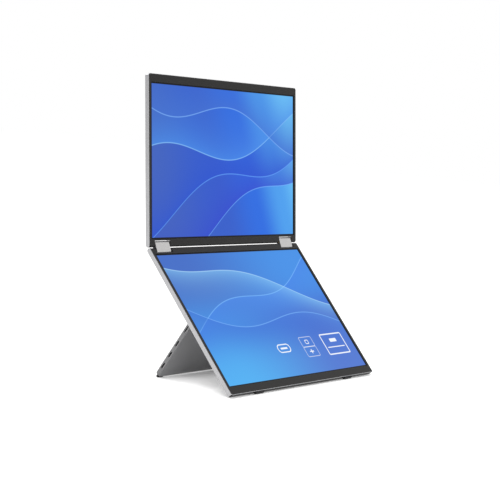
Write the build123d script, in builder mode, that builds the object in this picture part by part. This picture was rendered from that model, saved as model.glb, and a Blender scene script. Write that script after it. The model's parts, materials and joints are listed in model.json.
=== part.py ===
"""Stacked folding dual-screen display: two thin panels joined by geared double hinges, on a plate stand.

Millimetres, +Z up, +X to the user's right, -Y towards the user. The origin is on the surface that it
stands on, under the middle of the whole object. Each display, hinge block and the stand is drawn in a
plane of its own: local x runs across, local y along the piece, local z out of its front.
"""
from build123d import *
from math import cos, pi, radians, sin
import os

# ---- the two displays
PICTURE_WIDTH = 301.6          # 14-inch panel, 16:10
PICTURE_HEIGHT = 188.5
SIDE_BORDER = 6.3              # picture to the side of the display
FAR_BORDER = 12.0              # picture to the edge away from the hinge
HINGE_BORDER = 8.9             # picture to the hinge axis
MASK_WIDTH = 1.8               # black margin between picture and bezel
CORNER_RADIUS = 3.0
BACK_EDGE_RADIUS = 1.0
RIM_WIDTH = 0.4                # metal rim round the bezel
RIM_CHAMFER = 0.25

# ---- layers of a display, from the back to the front
BACK_WALL = 1.0
SEAT_HEIGHT = 0.4              # pads under the hinge brackets
LEAF_THICKNESS = 0.8           # steel leaf of a bracket
SCREW_HEAD = 0.5
SERVICE_CLEARANCE = 0.3
BACKLIGHT_THICKNESS = 1.6
GLASS_THICKNESS = 0.9
BEZEL_THICKNESS = 0.7
SIDE_WALL = 1.2
PANEL_LAP = 2.0                # bezel over the edge of the glass, at the sides
PANEL_FAR_LAP = 3.6            # and at the far edge
BACKLIGHT_INSET = 0.6          # glass edge to backlight edge

# ---- pose
LOWER_LEAN = 42.7              # from upright, degrees
UPPER_LEAN = 6.6
STAND_LEAN = 32.0
DISPLAY_FLOOR_GAP = 0.5        # floor to the lowest edge of the lower display
STAND_FLOOR_GAP = 1.2

# ---- double hinges
AXIS_SPACING = 7.4
FINGER_WIDTH = 10.6            # side of the display to the notch for the hinge block
BLOCK_WIDTH = 26.4
BLOCK_SIDE_GAP = 1.8           # hinge block to the sides of its notch
BLOCK_OVERHANG = 4.6           # hinge axis to the end of the block
BLOCK_SWING_GAP = 0.6          # end of the block to the bottom of its notch
BLOCK_WALL = 0.8
PLATE_RECESS = 0.3             # end plates set back in the mouth of the block
END_PLATE = 1.2
MIDDLE_PLATE = 1.0
SHAFT_RADIUS = 1.5
RUNNING_FIT = 0.05             # radial clearance of everything that turns
HELD_FIT = 0.02                # radial clearance of what is pressed or clamped
PINION_TEETH = 8
PINION_WIDTH = 5.0
IDLER_WIDTH = 4.6
JOURNAL_RADIUS = 0.55
NOTCH_WALL = 0.8
NOSE_WALL = 0.7                # wall of the round hinge edge
BARREL_GAP = 0.1
BARREL_LENGTH = 11.5
SHAFT_TAIL = 5.5               # shaft inside the outer finger
LEAF_LENGTH = 14.0
LEAF_OVERREACH = 6.0           # leaf beyond the barrel, across
DISC_THICKNESS = 0.6
DISC_RISE = 0.5
DISC_COUNT = 2
NUT_LENGTH = 2.0

# ---- small round things are drawn with flat sides, which keeps them light
BORE_SIDES = 12
SHANK_SIDES = 6

# ---- screws
SCREW_RADIUS = 0.8
SCREW_HEAD_RADIUS = 1.5
SCREW_DEPTH = 0.6              # thread into the wall
SCREW_HOLE_CLEARANCE = 0.1
SCREW_MARGIN = 2.5             # middle of a screw to the edge of what it holds
PAD_MARGIN = 0.5               # pad under a screw, beyond its head

# ---- inside the displays
TAPE_THICKNESS = 0.3
TAPE_WIDTH = 5.0
SEAT_RIB_WIDTH = 6.0
SEAT_RIB_INSET = 24.0          # side of the display to the panel's seat rib
THIN_RIB_WIDTH = 1.2
RIB_BOARD_GAP = 2.4
THIN_RIB_OFFSET = 50.0
RIB_START = 18.0
BOARD_THICKNESS = 0.8
DRIVER_BOARD_WIDTH = 170.0
DRIVER_BOARD_DEPTH = 13.0
DRIVER_BOARD_MARGIN = 4.0      # board to the far wall
DRIVER_SEAT_WIDTH = 3.0
DRIVER_SEAT_INSET = 8.0        # end of the board to its outer seats
DRIVER_SEAT_PITCH = 37.0
CHIP_WIDTH = 8.0
CHIP_PITCH = 26.0
CABLE_WIDTH = 12.0
CONNECTOR_DEPTH = 4.0
CABLE_THICKNESS = 0.3

# ---- stand
STAND_INSET = 20.0             # side of the display to the side of the stand
STAND_REACH = 111.9            # far edge of the lower display up to the pivot of the stand
STAND_BACK_WALL = 1.0
STAND_DEPTH = 4.3              # room inside
STAND_COVER = 1.0
STAND_SWING_GAP = 0.35         # stand to the display's back, folded
STAND_SIDE_WALL = 1.2
STAND_CORNER = 4.0
STAND_NOSE = 6.5               # solid beam along the pivot
STAND_SEAM = 4.5
STAND_HINGE_INSET = 49.1       # side of the stand to the middle of its hinge
KNUCKLE_WIDTH = 12.0
KNUCKLE_RADIUS = 3.0
KNUCKLE_SIDE_GAP = 0.4
KNUCKLE_SWING_GAP = 0.6
NECK_HALF = 2.2
SLOT_GAP = 0.15
STAND_PIN_RADIUS = 1.25
STAND_PIN_TAIL = 7.0
STAND_LEAF_HALF = 9.0          # along the display
STAND_LEAF_SIDE = 4.0          # beyond the knuckle, across
POST_WIDTH = 4.8               # square posts for the cover screws
BOARD_LIFT = 0.75              # room under the boards

# ---- sockets and keys
USB_C_WIDTH = 8.94
USB_C_HEIGHT = 3.26
USB_C_DEPTH = 7.3
USB_C_PITCH = 17.9
USB_C_FIRST = 39.2             # pivot to the nearest USB-C socket
SOCKET_SHELL = 0.35
SOCKET_SET_BACK = 0.3
SOCKET_TAB = 1.6               # solder tabs out of the sides, on the board
SOCKET_TAB_LENGTH = 2.2
SOCKET_TAB_THICKNESS = 0.3
TONGUE_WIDTH = 6.2
TONGUE_THICKNESS = 0.7
MINI_HDMI_WIDTH = 11.0
MINI_HDMI_HEIGHT = 2.9
MINI_HDMI_DEPTH = 7.0
MINI_HDMI_BEVEL = 0.9
MINI_HDMI_PLACE = 15.6         # pivot to the mini HDMI socket
SOCKET_GAP = 0.12
KEY_HEIGHT = 2.4
POWER_KEY_LENGTH = 9.0
MENU_KEY_LENGTH = 7.0
POWER_KEY_PLACE = 30.0
MENU_KEY_PLACE = 46.0
MENU_KEY_PITCH = 9.0
KEY_PROUD = 0.7
KEY_TRAVEL = 0.5
KEY_GAP = 0.12
KEY_FLANGE = 0.6
KEY_STEM = 1.2
KEY_STEM_WIDTH = 1.6
SWITCH_DEPTH = 2.4
SWITCH_WIDTH = 3.5
SWITCH_HEIGHT = 1.8
KEY_BOARD_DEPTH = 11.0
KEY_BOARD_MARGIN = 7.0         # outer keys to the ends of their board
KEY_CONNECTOR = 4.0
MAIN_BOARD_WIDTH = 103.4
BOARD_EDGE_GAP = 0.5           # board to the side wall
BOARD_END_GAP = 1.5
SHIELD_WIDTH = 26.0
SHIELD_HEIGHT = 1.6
CHIP_HEIGHT = 1.2

# ---- rubber feet
FOOT_SINK = 0.5                # pressed into the edge
FOOT_FACET = 0.5               # cut flat by the floor
DISPLAY_FOOT_LENGTH = 17.0
DISPLAY_FOOT_WIDTH = 4.2
DISPLAY_FOOT_INSET = 59.1      # side of the display to the middle of a foot
STAND_FOOT_LENGTH = 10.0
STAND_FOOT_WIDTH = 3.6
FOOT_EDGE_INSET = 0.25

# ---- worked out from the above
SERVICE_DEPTH = SEAT_HEIGHT + LEAF_THICKNESS + SCREW_HEAD + SERVICE_CLEARANCE
THICKNESS = BACK_WALL + SERVICE_DEPTH + BACKLIGHT_THICKNESS + GLASS_THICKNESS + BEZEL_THICKNESS
HALF = THICKNESS / 2
WIDTH = PICTURE_WIDTH + 2 * SIDE_BORDER
LENGTH = HINGE_BORDER + PICTURE_HEIGHT + FAR_BORDER      # hinge axis to the far edge
INNER_BACK = BACK_WALL - HALF                            # depth of the back wall's inner face
PANEL_BACK = INNER_BACK + SERVICE_DEPTH
GLASS_BACK = PANEL_BACK + BACKLIGHT_THICKNESS
BEZEL_BACK = HALF - BEZEL_THICKNESS
FINGER_FACE = WIDTH / 2 - FINGER_WIDTH                   # notch, outer face
BLOCK_CENTRE = FINGER_FACE - BLOCK_SIDE_GAP - BLOCK_WIDTH / 2
BLOCK_INNER = BLOCK_CENTRE - BLOCK_WIDTH / 2
BLOCK_OUTER = BLOCK_CENTRE + BLOCK_WIDTH / 2
NOTCH_FACE = BLOCK_INNER - BLOCK_SIDE_GAP                # notch, inner face
NOTCH_DEPTH = BLOCK_OVERHANG + BLOCK_SWING_GAP
PAD_WIDTH = 2 * (SCREW_HEAD_RADIUS + PAD_MARGIN)
SOLID_DEPTH = NOTCH_DEPTH + NOTCH_WALL                   # solid hinge edge round the notches
WINDOW_START = HINGE_BORDER - MASK_WIDTH
WINDOW_END = HINGE_BORDER + PICTURE_HEIGHT + MASK_WIDTH
WINDOW_HALF = PICTURE_WIDTH / 2 + MASK_WIDTH
SEAM_END = NOTCH_DEPTH - BLOCK_SIDE_GAP                  # bezel's round hinge edge ends here
SEAT_RIB_OFFSET = WIDTH / 2 - SEAT_RIB_INSET
DRIVER_BOARD_PLACE = LENGTH - SIDE_WALL - DRIVER_BOARD_MARGIN - DRIVER_BOARD_DEPTH / 2
RIB_END = DRIVER_BOARD_PLACE - DRIVER_BOARD_DEPTH / 2 - RIB_BOARD_GAP
SHAFT_END = FINGER_FACE + SHAFT_TAIL
BARREL_OUTER = NOTCH_FACE - NOTCH_WALL - RUNNING_FIT
BARREL_INNER = BARREL_OUTER - BARREL_LENGTH
PINION_START = BLOCK_INNER + PLATE_RECESS + END_PLATE + RUNNING_FIT
PINION_END = PINION_START + PINION_WIDTH
MIDDLE_PLATE_START = PINION_END + RUNNING_FIT
PITCH_RADIUS = AXIS_SPACING / 6                          # four equal gears in a row
MODULE = 2 * PITCH_RADIUS / PINION_TEETH

STAND_THICKNESS = STAND_BACK_WALL + STAND_DEPTH + STAND_COVER
STAND_HALF = STAND_THICKNESS / 2
STAND_WIDTH = WIDTH - 2 * STAND_INSET
STAND_INNER_BACK = STAND_BACK_WALL - STAND_HALF
STAND_COVER_BACK = STAND_HALF - STAND_COVER
STAND_FOOT_INSET = STAND_COVER + FOOT_EDGE_INSET         # the feet are in the housing, behind its cover
STAND_INSIDE = STAND_WIDTH / 2 - STAND_SIDE_WALL
STAND_PIVOT = LENGTH - STAND_REACH                       # hinge axis of the displays to the pivot
STAND_HINGE_OFFSET = STAND_WIDTH / 2 - STAND_HINGE_INSET
PIVOT_DEPTH = -(HALF + STAND_SWING_GAP + STAND_HALF)
MAIN_BOARD_BACK = STAND_INNER_BACK + BOARD_LIFT
MAIN_BOARD_TOP = MAIN_BOARD_BACK + BOARD_THICKNESS
MAIN_BOARD_END = STAND_INSIDE - BOARD_EDGE_GAP
MAIN_BOARD_START = MAIN_BOARD_END - MAIN_BOARD_WIDTH
SWITCH_FACE = KEY_FLANGE + KEY_STEM + KEY_TRAVEL + KEY_GAP - STAND_INSIDE
KEY_BOARD_END = SWITCH_FACE + KEY_BOARD_DEPTH
KEY_BOARD_LOW = POWER_KEY_PLACE - POWER_KEY_LENGTH / 2 - KEY_BOARD_MARGIN
KEY_BOARD_HIGH = MENU_KEY_PLACE + MENU_KEY_PITCH + MENU_KEY_LENGTH / 2 + KEY_BOARD_MARGIN
KEY_CABLE_PLACE = (KEY_BOARD_LOW + KEY_BOARD_HIGH) / 2

# ---- where everything stands
lean_low = radians(LOWER_LEAN)
lean_up = radians(UPPER_LEAN)
lean_block = (lean_low + lean_up) / 2
lean_stand = radians(STAND_LEAN)
axis_height = DISPLAY_FLOOR_GAP + LENGTH * cos(lean_low) + HALF * sin(lean_low)
front_reach = LENGTH * sin(lean_low) + HALF * cos(lean_low) - RIM_CHAMFER * sin(lean_low)
back_reach = (LENGTH * sin(lean_up) + HALF * cos(lean_up) + AXIS_SPACING * sin(lean_block)
              - BACK_EDGE_RADIUS * (sin(lean_up) + cos(lean_up) - 1))
axis_y = (front_reach - back_reach) / 2                  # centres the whole object on y = 0
lower = Plane(
    origin=(0, axis_y, axis_height), x_dir=(-1, 0, 0), z_dir=(0, -cos(lean_low), sin(lean_low))
)
upper = Plane(
    origin=(0, axis_y + AXIS_SPACING * sin(lean_block), axis_height + AXIS_SPACING * cos(lean_block)),
    x_dir=(1, 0, 0),
    z_dir=(0, -cos(lean_up), sin(lean_up)),
)
block = Plane(
    origin=(lower.origin + upper.origin) / 2,
    x_dir=(1, 0, 0),
    z_dir=(0, -cos(lean_block), sin(lean_block)),
)
stand = Plane(
    origin=lower.from_local_coords(Vector(0, STAND_PIVOT, PIVOT_DEPTH)),
    x_dir=(-1, 0, 0),
    z_dir=(0, -cos(lean_stand), -sin(lean_stand)),
)
floor = Plane.XY
STAND_LENGTH = (stand.origin.Z - STAND_FLOOR_GAP - STAND_HALF * sin(lean_stand)) / cos(lean_stand)


# ---- helpers
def section(frame, x=0.0):
    """The plane across a piece: local x along the piece, local y out of its front."""
    return Plane(origin=frame.from_local_coords(Vector(x, 0, 0)), x_dir=frame.y_dir, z_dir=frame.x_dir)


def stretch(frame, side, near, far):
    """Section plane and length for what spans near..far from the middle, on one side."""
    return section(frame, near if side > 0 else -far), far - near


def side_name(frame, side):
    """Left or right, as the user sees the object."""
    return "left" if frame.x_dir.X * side < 0 else "right"


def depth_axis(frame):
    """Axis out of the front of a piece, for choosing edges by depth."""
    return Axis(frame.origin, frame.z_dir)


def save(piece, name):
    """Labels a finished piece and writes it."""
    piece.part.label = name
    export_step(piece.part, f"parts/{name}.step")


# ---- shells: shared by the displays and the stand
def half_form(frame, width, length, half, corner, front):
    """Front (1) or back (-1) half of a display or the stand, with a quarter of its round hinge edge."""
    with BuildPart() as form:
        with BuildSketch(section(frame, -width / 2)):
            with BuildLine():
                Polyline((-half, 0), (length, 0), (length, front * half), (0, front * half))
                ThreePointArc((0, front * half), (-half * cos(pi / 4), front * half * sin(pi / 4)), (-half, 0))
            make_face()
        extrude(amount=width)
        uprights = form.edges().filter_by(depth_axis(frame))
        fillet(uprights.sort_by(Axis(frame.origin, frame.y_dir))[-2:], corner)
        face = front * half
        outline = form.edges().filter_by_position(depth_axis(frame), face - 0.01, face + 0.01)
        outline = outline.sort_by(Axis(frame.origin, frame.y_dir))[1:]
        if front > 0:
            chamfer(outline, RIM_CHAMFER)
        else:
            fillet(outline, BACK_EDGE_RADIUS)
    return form.part


def lid_room(frame, width, length, half, lid, seam_end, corner, inset):
    """Room of the front piece, inset from the sides and the far edge: a plate, and half the round edge."""
    with BuildPart() as room:
        with BuildSketch(section(frame, inset - width / 2)):
            with BuildLine():
                Polyline((-2 * half, 0), (seam_end, 0), (seam_end, half - lid), (length - inset, half - lid),
                         (length - inset, 2 * half), (-2 * half, 2 * half), close=True)
            make_face()
        extrude(amount=width - 2 * inset)
        uprights = room.edges().filter_by(depth_axis(frame))
        fillet(uprights.sort_by(Axis(frame.origin, frame.y_dir))[-2:], corner - inset)
    return room.part


def back_shell(frame, width, length, half, lid, seam_end, corner):
    """Solid back piece, with a thin rim round the front one."""
    with BuildPart() as shell:
        for front in (-1, 1):
            add(half_form(frame, width, length, half, corner, front))
        add(lid_room(frame, width, length, half, lid, seam_end, corner, RIM_WIDTH), mode=Mode.SUBTRACT)
    return shell


def front_shell(frame, width, length, half, lid, seam_end, corner):
    """Solid front piece, which fits inside the rim."""
    with BuildPart() as shell:
        add(half_form(frame, width, length, half, corner, 1))
        add(lid_room(frame, width, length, half, lid, seam_end, corner, RIM_WIDTH + HELD_FIT),
            mode=Mode.INTERSECT)
    return shell


def hinge_edge_space(frame):
    """What is taken out of the round hinge edge: its hollow, the block notches and the shaft bores."""
    with BuildPart() as space:
        with BuildSketch(section(frame, -(NOTCH_FACE - NOTCH_WALL))):
            Circle(HALF - NOSE_WALL)
        extrude(amount=2 * (NOTCH_FACE - NOTCH_WALL))
        for side in (-1, 1):
            plane, length = stretch(frame, side, NOTCH_FACE, FINGER_FACE)
            with BuildSketch(plane):
                with Locations(((NOTCH_DEPTH - THICKNESS) / 2, 0)):
                    Rectangle(NOTCH_DEPTH + THICKNESS, 2 * THICKNESS)
            extrude(amount=length)
            plane, length = stretch(frame, side, NOTCH_FACE - 2 * NOTCH_WALL, SHAFT_END + RUNNING_FIT)
            with BuildSketch(plane):
                bore(SHAFT_RADIUS + HELD_FIT)
            extrude(amount=length)
    return space.part


def inner_outline():
    """Inside an open sketch: the room inside a display's walls, clear of the solid round the notches."""
    with Locations((0, (LENGTH - SIDE_WALL) / 2)):
        Rectangle(WIDTH - 2 * SIDE_WALL, LENGTH - SIDE_WALL)
    for side in (-1, 1):
        with Locations((side * (NOTCH_FACE - NOTCH_WALL + WIDTH / 2) / 2, SOLID_DEPTH - LENGTH / 2)):
            Rectangle(WIDTH / 2 - NOTCH_FACE + NOTCH_WALL, LENGTH, mode=Mode.SUBTRACT)


def bore(radius, mode=Mode.ADD):
    """Inside an open sketch: small bore, its flat sides clear of the circle that runs in it."""
    RegularPolygon(radius, BORE_SIDES, major_radius=False, mode=mode)


def screw_holes(places, extra=0.0):
    """Inside an open sketch: holes for screws, wider by extra."""
    with Locations(*places):
        RegularPolygon(SCREW_RADIUS + extra, SHANK_SIDES)


def both_sides(places):
    """Places on the right, followed by their mirror images on the left."""
    return [(side * x, y) for side in (1, -1) for x, y in places]


def leaf_screw_places():
    """Three screws of each hinge bracket's leaf, clear of its barrel."""
    inner = BARREL_INNER - LEAF_OVERREACH / 2
    outer = BARREL_OUTER - SCREW_MARGIN
    end = LEAF_LENGTH - SCREW_MARGIN
    return both_sides([(inner, HALF), (inner, end), (outer, end)])


def stand_leaf_screw_places():
    """Four screws of each stand bracket's leaf, round its neck."""
    across = KNUCKLE_WIDTH / 2 + STAND_LEAF_SIDE - SCREW_MARGIN
    along = STAND_LEAF_HALF - SCREW_MARGIN
    middle = (STAND_HINGE_OFFSET, STAND_PIVOT)
    return both_sides([(middle[0] + a, middle[1] + b) for a in (-across, across) for b in (-along, along)])


# ---- pieces of a display
def make_back_cover(frame, name, holds_stand):
    shell = back_shell(frame, WIDTH, LENGTH, HALF, BEZEL_THICKNESS, SEAM_END, CORNER_RADIUS)
    rib_middle = (RIB_START + RIB_END) / 2
    rib_length = RIB_END - RIB_START
    with BuildPart() as cover:
        add(shell.part)
        with BuildSketch(frame.offset(INNER_BACK)):
            inner_outline()
        extrude(amount=THICKNESS, mode=Mode.SUBTRACT)
        add(hinge_edge_space(frame), mode=Mode.SUBTRACT)
        # ribs that the panel is taped to, and thin ribs that stiffen the back
        with BuildSketch(frame.offset(INNER_BACK)):
            with Locations((0, rib_middle)):
                with GridLocations(2 * SEAT_RIB_OFFSET, 0, 2, 1):
                    Rectangle(SEAT_RIB_WIDTH, rib_length)
        extrude(amount=SERVICE_DEPTH - TAPE_THICKNESS)
        with BuildSketch(frame.offset(INNER_BACK)):
            with Locations((0, rib_middle)):
                with GridLocations(2 * THIN_RIB_OFFSET, 0, 2, 1):
                    Rectangle(THIN_RIB_WIDTH, rib_length)
                with GridLocations(SEAT_RIB_OFFSET + THIN_RIB_OFFSET, rib_length / 2, 2, 2):
                    Rectangle(SEAT_RIB_OFFSET - THIN_RIB_OFFSET, THIN_RIB_WIDTH)
        extrude(amount=SERVICE_DEPTH - TAPE_THICKNESS - SERVICE_CLEARANCE)
        # pads under the bracket leaves and their screw holes
        with BuildSketch(frame.offset(INNER_BACK)):
            with Locations(*leaf_screw_places()):
                Rectangle(PAD_WIDTH, PAD_WIDTH)
        extrude(amount=SEAT_HEIGHT)
        with BuildSketch(frame.offset(INNER_BACK + SEAT_HEIGHT)):
            screw_holes(leaf_screw_places())
        extrude(amount=-SEAT_HEIGHT - SCREW_DEPTH, mode=Mode.SUBTRACT)
        # seats under the driver board
        outer_seat = DRIVER_BOARD_WIDTH / 2 - DRIVER_SEAT_INSET
        seats = both_sides([(x, DRIVER_BOARD_PLACE) for x in (outer_seat, outer_seat - DRIVER_SEAT_PITCH)])
        with BuildSketch(frame.offset(INNER_BACK)):
            with Locations(*seats):
                Rectangle(DRIVER_SEAT_WIDTH, DRIVER_BOARD_DEPTH)
        extrude(amount=SERVICE_DEPTH - SERVICE_CLEARANCE - BOARD_THICKNESS)
        # slots for the stand's brackets, and pockets for the rubber feet in the far edge
        if holds_stand:
            add(stand_bracket_space(), mode=Mode.SUBTRACT)
            with BuildSketch(Plane(origin=frame.from_local_coords(Vector(0, LENGTH, 0)),
                                   x_dir=frame.x_dir, z_dir=frame.y_dir)):
                with Locations(*display_foot_places()):
                    Rectangle(DISPLAY_FOOT_LENGTH, DISPLAY_FOOT_WIDTH)
            extrude(amount=-FOOT_SINK, mode=Mode.SUBTRACT)
    save(cover, name)


def stand_bracket_space():
    """What the stand brackets need out of the lower back: slots for their necks, and screw holes."""
    with BuildPart() as space:
        for side in (-1, 1):
            with BuildSketch(lower.offset(INNER_BACK)):
                with Locations((side * STAND_HINGE_OFFSET, STAND_PIVOT)):
                    Rectangle(KNUCKLE_WIDTH + 2 * SLOT_GAP, 2 * (NECK_HALF + SLOT_GAP))
            extrude(amount=-2 * BACK_WALL)
        with BuildSketch(lower.offset(INNER_BACK)):
            screw_holes(stand_leaf_screw_places())
        extrude(amount=-SCREW_DEPTH)
    return space.part


def make_bezel(frame, name):
    shell = front_shell(frame, WIDTH, LENGTH, HALF, BEZEL_THICKNESS, SEAM_END, CORNER_RADIUS)
    with BuildPart() as bezel:
        add(shell.part)
        with BuildSketch(frame.offset(BEZEL_BACK)):
            with Locations((0, SEAM_END / 2)):
                Rectangle(2 * (NOTCH_FACE - NOTCH_WALL), SEAM_END)
        extrude(amount=-HALF, mode=Mode.SUBTRACT)
        add(hinge_edge_space(frame), mode=Mode.SUBTRACT)
        with BuildSketch(frame.offset(BEZEL_BACK)):
            with Locations((0, (WINDOW_START + WINDOW_END) / 2)):
                Rectangle(2 * WINDOW_HALF, WINDOW_END - WINDOW_START)
        extrude(amount=HALF, mode=Mode.SUBTRACT)
    save(bezel, name)


def make_panel(frame, prefix):
    """Glass-fronted panel against the bezel, and the backlight unit behind it."""
    glass_width = 2 * (WINDOW_HALF + PANEL_LAP)
    start = SOLID_DEPTH + 2 * RUNNING_FIT
    end = WINDOW_END + PANEL_FAR_LAP
    with BuildPart() as glass:
        with BuildSketch(frame.offset(GLASS_BACK)):
            with Locations((0, (start + end) / 2)):
                RectangleRounded(glass_width, end - start, 1.0)
        extrude(amount=GLASS_THICKNESS)
    save(glass, f"{prefix}_screen_glass")
    with BuildPart() as backlight:
        with BuildSketch(frame.offset(PANEL_BACK)):
            with Locations((0, (start + end) / 2)):
                Rectangle(glass_width - 2 * BACKLIGHT_INSET, end - start - 2 * BACKLIGHT_INSET)
        extrude(amount=BACKLIGHT_THICKNESS)
        back = backlight.faces().sort_by(depth_axis(frame))[0]
        chamfer(back.edges(), BACKLIGHT_INSET)
    save(backlight, f"{prefix}_backlight_unit")


def make_tapes(frame, name):
    with BuildPart() as tapes:
        with BuildSketch(frame.offset(PANEL_BACK - TAPE_THICKNESS)):
            with Locations((0, (RIB_START + RIB_END) / 2)):
                with GridLocations(2 * SEAT_RIB_OFFSET, 0, 2, 1):
                    Rectangle(TAPE_WIDTH, RIB_END - RIB_START - TAPE_WIDTH)
        extrude(amount=TAPE_THICKNESS)
    save(tapes, name)


def make_driver_board(frame, name):
    """Board along the far wall on its seats, with chips and the cable's connector on the back."""
    centre = DRIVER_BOARD_PLACE
    board_back = PANEL_BACK - SERVICE_CLEARANCE - BOARD_THICKNESS
    connector_height = board_back - INNER_BACK - CABLE_THICKNESS
    with BuildPart() as board:
        with BuildSketch(frame.offset(board_back)):
            with Locations((0, centre)):
                Rectangle(DRIVER_BOARD_WIDTH, DRIVER_BOARD_DEPTH)
        extrude(amount=BOARD_THICKNESS)
        with BuildSketch(frame.offset(board_back)):
            with Locations((-2 * CHIP_PITCH, centre), (CHIP_PITCH, centre)):
                Rectangle(CHIP_WIDTH, CHIP_WIDTH)
            with Locations((-CHIP_PITCH, centre), (2 * CHIP_PITCH, centre)):
                Rectangle(CHIP_WIDTH / 2, CHIP_WIDTH / 2)
            with Locations((0, centre - (DRIVER_BOARD_DEPTH - CONNECTOR_DEPTH) / 2)):
                Rectangle(CABLE_WIDTH + CONNECTOR_DEPTH, CONNECTOR_DEPTH)
        extrude(amount=-connector_height)
    save(board, name)


def make_signal_cable(frame, name):
    """Flat cable on the back wall, from the driver board to the hinge edge."""
    end = DRIVER_BOARD_PLACE - DRIVER_BOARD_DEPTH / 2 + CONNECTOR_DEPTH
    with BuildPart() as cable:
        with BuildSketch(frame.offset(INNER_BACK)):
            with Locations((0, (SOLID_DEPTH + end) / 2)):
                Rectangle(CABLE_WIDTH, end - SOLID_DEPTH)
        extrude(amount=CABLE_THICKNESS)
    save(cable, name)


def make_hinge_bracket(frame, side, name):
    """Steel leaf screwed to the back cover, with a barrel that grips the shaft."""
    leaf_back = INNER_BACK + SEAT_HEIGHT
    with BuildPart() as bracket:
        plane, length = stretch(frame, side, BARREL_INNER, BARREL_OUTER)
        with BuildSketch(plane):
            Circle(HALF - NOSE_WALL - BARREL_GAP)
        extrude(amount=length)
        plane, length = stretch(frame, side, BARREL_INNER - LEAF_OVERREACH, BARREL_OUTER)
        with BuildSketch(plane):
            with Locations((LEAF_LENGTH / 2, leaf_back + LEAF_THICKNESS / 2)):
                Rectangle(LEAF_LENGTH, LEAF_THICKNESS)
        extrude(amount=length)
        plane, length = stretch(frame, side, BARREL_INNER, BARREL_OUTER)
        with BuildSketch(plane):
            bore(SHAFT_RADIUS + HELD_FIT)
        extrude(amount=length, mode=Mode.SUBTRACT)
        with BuildSketch(frame.offset(leaf_back)):
            screw_holes(leaf_screw_places(), SCREW_HOLE_CLEARANCE)
        extrude(amount=LEAF_THICKNESS, mode=Mode.SUBTRACT)
        corner = bracket.edges().filter_by(depth_axis(frame)).sort_by(Axis(frame.origin, frame.y_dir))[-2:]
        fillet(corner, SCREW_HEAD_RADIUS)
    save(bracket, name)


def make_screws(frame, places, seat, depth, name):
    """Flat-headed screws: heads on the depth called seat, threads going depth further back."""
    with BuildPart() as screws:
        with BuildSketch(frame.offset(seat)):
            with Locations(*places):
                RegularPolygon(SCREW_HEAD_RADIUS, BORE_SIDES)
        extrude(amount=SCREW_HEAD)
        with BuildSketch(frame.offset(seat)):
            screw_holes(places, -HELD_FIT)
        extrude(amount=-depth)
    save(screws, name)


# ---- double hinge
def gear_outline(radius_to_pitch, turn):
    """Points round a small gear: straight-flanked teeth, cut a little thin so that they run free."""
    root = radius_to_pitch - 1.05 * MODULE
    tip = radius_to_pitch + 0.75 * MODULE
    flank = ((root, -0.30), (radius_to_pitch, -0.205), (tip, -0.09),
             (tip, 0.09), (radius_to_pitch, 0.205), (root, 0.30))
    pitch_angle = 2 * pi / PINION_TEETH
    points = []
    for tooth in range(PINION_TEETH):
        for radius, share in flank:
            angle = turn + (tooth + share) * pitch_angle
            points.append((radius * cos(angle), radius * sin(angle)))
    return points


def make_hinge_shaft(side, row, name):
    """Shaft of one display: plain ends, and a pinion between the plates. row is -1 lower, 1 upper."""
    turn = 0 if row < 0 else pi / PINION_TEETH
    centre = (row * AXIS_SPACING / 2, 0)
    with BuildPart() as shaft:
        for near, far in ((BARREL_INNER, PINION_START), (PINION_END, SHAFT_END)):
            plane, length = stretch(block, side, near, far)
            with BuildSketch(plane):
                with Locations(centre):
                    Circle(SHAFT_RADIUS)
            extrude(amount=length)
        outer_end = shaft.faces().filter_by(Axis.X).sort_by(Axis.X)[-1 if side > 0 else 0]
        chamfer(outer_end.edges(), 0.3)
        plane, length = stretch(block, side, PINION_START, PINION_END)
        with BuildSketch(plane):
            with Locations(centre):
                Polygon(*gear_outline(PITCH_RADIUS, turn), align=None)
        extrude(amount=length)
    save(shaft, name)


def make_idlers(row, name):
    """Idler gear of one row in both hinges: a gear with a journal at each end."""
    centre = (row * PITCH_RADIUS, 0)
    turn = pi / PINION_TEETH if row < 0 else 0
    play = (PINION_WIDTH - IDLER_WIDTH) / 2
    with BuildPart() as idlers:
        for side in (-1, 1):
            plane, length = stretch(block, side, PINION_START + play, PINION_END - play)
            with BuildSketch(plane):
                with Locations(centre):
                    Polygon(*gear_outline(PITCH_RADIUS, turn), align=None)
            extrude(amount=length)
            plane, length = stretch(block, side, PINION_START - END_PLATE, MIDDLE_PLATE_START + MIDDLE_PLATE)
            with BuildSketch(plane):
                with Locations(centre):
                    RegularPolygon(JOURNAL_RADIUS, BORE_SIDES)
            extrude(amount=length)
    save(idlers, name)


def make_hinge_cap(side, name):
    """Silver sleeve of a hinge block, round at both ends."""
    outside = AXIS_SPACING + 2 * BLOCK_OVERHANG
    with BuildPart() as cap:
        plane, length = stretch(block, side, BLOCK_INNER, BLOCK_OUTER)
        with BuildSketch(plane):
            SlotOverall(outside, THICKNESS)
            SlotOverall(outside - 2 * BLOCK_WALL, THICKNESS - 2 * BLOCK_WALL, mode=Mode.SUBTRACT)
        extrude(amount=length)
        mouths = cap.faces().filter_by(Axis.X)
        outer_rims = [face.outer_wire().edges() for face in mouths]
        chamfer([edge for rim in outer_rims for edge in rim], 0.2)
    save(cap, name)


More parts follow.
